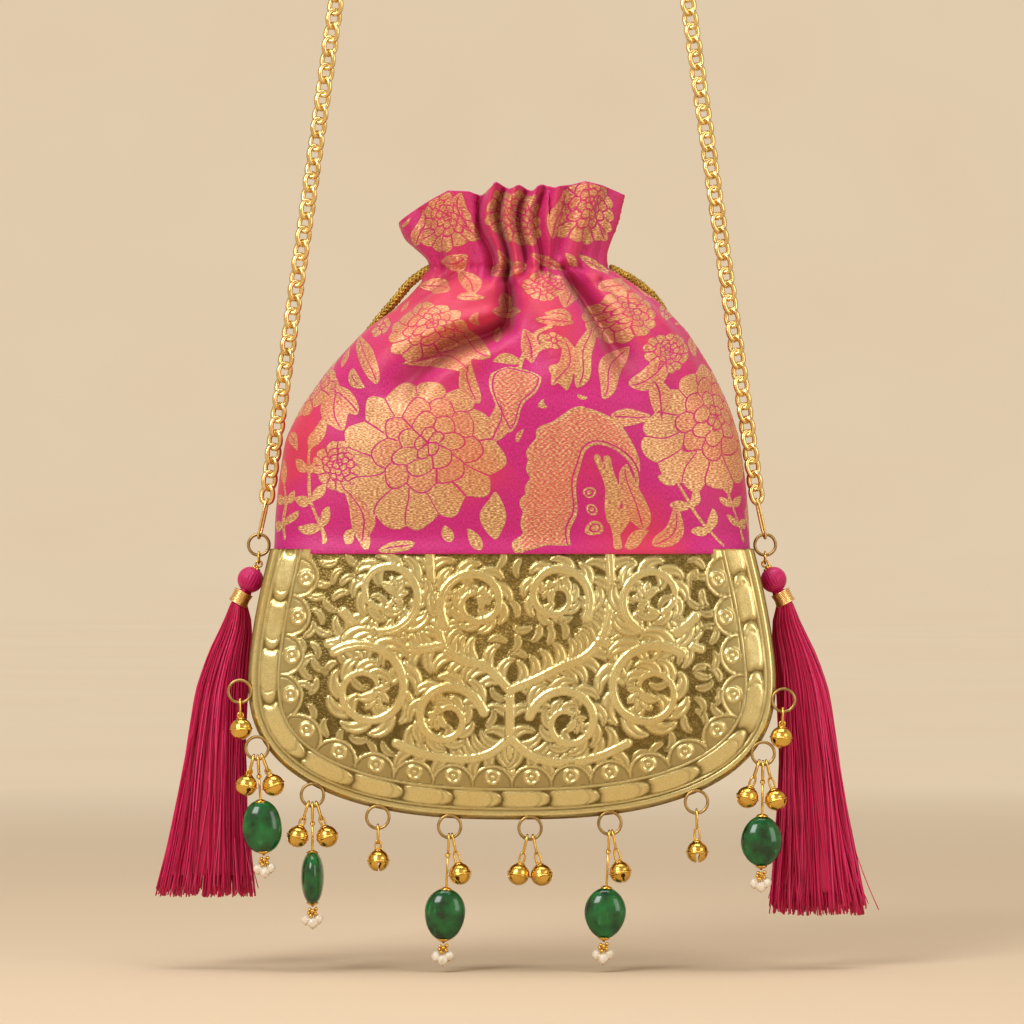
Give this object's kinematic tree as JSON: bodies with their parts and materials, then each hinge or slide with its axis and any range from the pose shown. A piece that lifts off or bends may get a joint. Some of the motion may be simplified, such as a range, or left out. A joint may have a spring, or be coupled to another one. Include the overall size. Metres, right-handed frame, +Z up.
{
  "type": "potli bag",
  "caption": "Drawstring potli bag: gathered brocade pouch in an embossed metal base, hung on a curb chain, with bells, bead drops and side tassels",
  "frame": {"origin": "the top of the chain's arch, where a hand or hook holds it up", "axes": "+Z up along the hanging chain, +X to the right across the bag, -Y towards the embossed front"},
  "size_m": [0.2702, 0.0651, 0.4553],
  "materials": {
    "embossed_metal": "embossed antique brass-toned sheet, worn bright on the high points",
    "band_metal": "plain antique brass-toned strip",
    "brocade": "magenta silk brocade with gold thread motifs",
    "lining_cloth": "plain woven lining",
    "gold_cord": "braided metallic thread cord",
    "antique_brass": "antique brass-toned wire",
    "gilt_chain": "gilt curb chain",
    "bell_brass": "polished gilt",
    "tassel_thread": "silk tassel thread",
    "green_bead": "translucent green resin",
    "pearl": "imitation pearl"
  },
  "bodies": {
    "chain": {"chain_left": "gilt_chain", "chain_top": "gilt_chain", "chain_right": "gilt_chain", "connector_link_left": "gilt_chain", "connector_link_right": "gilt_chain"},
    "bag": {"front_plate": "embossed_metal", "back_plate": "embossed_metal", "side_band": "band_metal", "lining": "lining_cloth", "pouch": "brocade", "drawstring_loop": "gold_cord", "side_ring_left": "antique_brass", "side_ring_right": "antique_brass", "edge_ring_01": "antique_brass", "edge_ring_02": "antique_brass", "edge_ring_03": "antique_brass", "edge_ring_04": "antique_brass", "edge_ring_05": "antique_brass", "edge_ring_06": "antique_brass", "edge_ring_07": "antique_brass", "edge_ring_08": "antique_brass", "edge_ring_09": "antique_brass", "edge_ring_10": "antique_brass"},
    "tassel_ring_left": {"tassel_jump_ring_left": "bell_brass"},
    "tassel_left": {"tassel_head_left": "tassel_thread", "tassel_wrap_left": "bell_brass", "tassel_skirt_left": "tassel_thread"},
    "tassel_ring_right": {"tassel_jump_ring_right": "bell_brass"},
    "tassel_right": {"tassel_head_right": "tassel_thread", "tassel_wrap_right": "bell_brass", "tassel_skirt_right": "tassel_thread"},
    "bell_01_body": {"bell_01": "bell_brass"},
    "bell_02_body": {"bell_02": "bell_brass"},
    "bell_03_body": {"bell_03": "bell_brass"},
    "bell_04_body": {"bell_04": "bell_brass"},
    "bell_05_body": {"bell_05": "bell_brass"},
    "bell_06_body": {"bell_06": "bell_brass"},
    "bell_07_body": {"bell_07": "bell_brass"},
    "bell_08_body": {"bell_08": "bell_brass"},
    "bell_09_body": {"bell_09": "bell_brass"},
    "bell_10_body": {"bell_10": "bell_brass"},
    "bell_11_body": {"bell_11": "bell_brass"},
    "bell_12_body": {"bell_12": "bell_brass"},
    "bell_13_body": {"bell_13": "bell_brass"},
    "bell_14_body": {"bell_14": "bell_brass"},
    "bead_drop_01": {"bead_pin_01": "bell_brass", "bead_01": "green_bead", "pearl_drop_01": "pearl"},
    "bead_drop_02": {"bead_pin_02": "bell_brass", "bead_02": "green_bead", "pearl_drop_02": "pearl"},
    "bead_drop_03": {"bead_pin_03": "bell_brass", "bead_03": "green_bead", "pearl_drop_03": "pearl"},
    "bead_drop_04": {"bead_pin_04": "bell_brass", "bead_04": "green_bead", "pearl_drop_04": "pearl"},
    "bead_drop_05": {"bead_pin_05": "bell_brass", "bead_05": "green_bead", "pearl_drop_05": "pearl"}
  },
  "joints": [
    {"name": "bag_swing", "type": "hinge", "parent": "chain", "child": "bag", "pos_m": [0, 0, -0.2895], "axis": [1, 0, 0], "range_deg": [-60, 60]},
    {"name": "tassel_left_swing", "type": "hinge", "parent": "bag", "child": "tassel_ring_left", "pos_m": [-0.0972, 0, -0.2975], "axis": [1, 0, 0], "range_deg": [-3, 45]},
    {"name": "tassel_left_sway", "type": "hinge", "parent": "tassel_ring_left", "child": "tassel_left", "pos_m": [-0.0972, 0, -0.30075], "axis": [0, 1, 0], "range_deg": [0, 60]},
    {"name": "tassel_right_swing", "type": "hinge", "parent": "bag", "child": "tassel_ring_right", "pos_m": [0.0972, 0, -0.2975], "axis": [1, 0, 0], "range_deg": [-3, 45]},
    {"name": "tassel_right_sway", "type": "hinge", "parent": "tassel_ring_right", "child": "tassel_right", "pos_m": [0.0972, 0, -0.30075], "axis": [0, -1, 0], "range_deg": [0, 60]},
    {"name": "bell_01_swing", "type": "hinge", "parent": "bag", "child": "bell_01_body", "pos_m": [-0.10363, -0.0154, -0.35358], "axis": [1, 0, 0], "range_deg": [-45, 25]},
    {"name": "bell_02_swing", "type": "hinge", "parent": "bag", "child": "bell_02_body", "pos_m": [-0.09876, -0.0154, -0.37489], "axis": [1, 0, 0], "range_deg": [-45, 25]},
    {"name": "bell_03_swing", "type": "hinge", "parent": "bag", "child": "bell_03_body", "pos_m": [-0.09499, -0.0154, -0.37459], "axis": [1, 0, 0], "range_deg": [-45, 45]},
    {"name": "bell_04_swing", "type": "hinge", "parent": "bag", "child": "bell_04_body", "pos_m": [-0.07792, -0.0154, -0.39269], "axis": [1, 0, 0], "range_deg": [-45, 45]},
    {"name": "bell_05_swing", "type": "hinge", "parent": "bag", "child": "bell_05_body", "pos_m": [-0.07423, -0.0154, -0.39269], "axis": [1, 0, 0], "range_deg": [-45, 45]},
    {"name": "bell_06_swing", "type": "hinge", "parent": "bag", "child": "bell_06_body", "pos_m": [-0.0511, -0.0154, -0.40154], "axis": [1, 0, 0], "range_deg": [-45, 45]},
    {"name": "bell_07_swing", "type": "hinge", "parent": "bag", "child": "bell_07_body", "pos_m": [-0.02259, -0.0154, -0.40494], "axis": [1, 0, 0], "range_deg": [-45, 45]},
    {"name": "bell_08_swing", "type": "hinge", "parent": "bag", "child": "bell_08_body", "pos_m": [0.00555, -0.0154, -0.40546], "axis": [1, 0, 0], "range_deg": [-45, 45]},
    {"name": "bell_09_swing", "type": "hinge", "parent": "bag", "child": "bell_09_body", "pos_m": [0.00822, -0.0154, -0.40546], "axis": [1, 0, 0], "range_deg": [-45, 45]},
    {"name": "bell_10_swing", "type": "hinge", "parent": "bag", "child": "bell_10_body", "pos_m": [0.03848, -0.0154, -0.4037], "axis": [1, 0, 0], "range_deg": [-45, 45]},
    {"name": "bell_11_swing", "type": "hinge", "parent": "bag", "child": "bell_11_body", "pos_m": [0.07041, -0.0154, -0.39573], "axis": [1, 0, 0], "range_deg": [-45, 45]},
    {"name": "bell_12_swing", "type": "hinge", "parent": "bag", "child": "bell_12_body", "pos_m": [0.09389, -0.0154, -0.37684], "axis": [1, 0, 0], "range_deg": [-45, 45]},
    {"name": "bell_13_swing", "type": "hinge", "parent": "bag", "child": "bell_13_body", "pos_m": [0.09721, -0.0154, -0.37701], "axis": [1, 0, 0], "range_deg": [-45, 25]},
    {"name": "bell_14_swing", "type": "hinge", "parent": "bag", "child": "bell_14_body", "pos_m": [0.10319, -0.0154, -0.35694], "axis": [1, 0, 0], "range_deg": [-45, 25]},
    {"name": "bead_drop_01_swing", "type": "hinge", "parent": "bag", "child": "bead_drop_01", "pos_m": [-0.09683, -0.0154, -0.37517], "axis": [1, 0, 0], "range_deg": [-45, 9]},
    {"name": "bead_drop_02_swing", "type": "hinge", "parent": "bag", "child": "bead_drop_02", "pos_m": [-0.07608, -0.0154, -0.3931], "axis": [1, 0, 0], "range_deg": [-45, 45]},
    {"name": "bead_drop_03_swing", "type": "hinge", "parent": "bag", "child": "bead_drop_03", "pos_m": [-0.02409, -0.0154, -0.4051], "axis": [1, 0, 0], "range_deg": [-45, 45]},
    {"name": "bead_drop_04_swing", "type": "hinge", "parent": "bag", "child": "bead_drop_04", "pos_m": [0.03702, -0.0154, -0.40386], "axis": [1, 0, 0], "range_deg": [-45, 45]},
    {"name": "bead_drop_05_swing", "type": "hinge", "parent": "bag", "child": "bead_drop_05", "pos_m": [0.09565, -0.0154, -0.37727], "axis": [1, 0, 0], "range_deg": [-45, 9]}
  ]
}
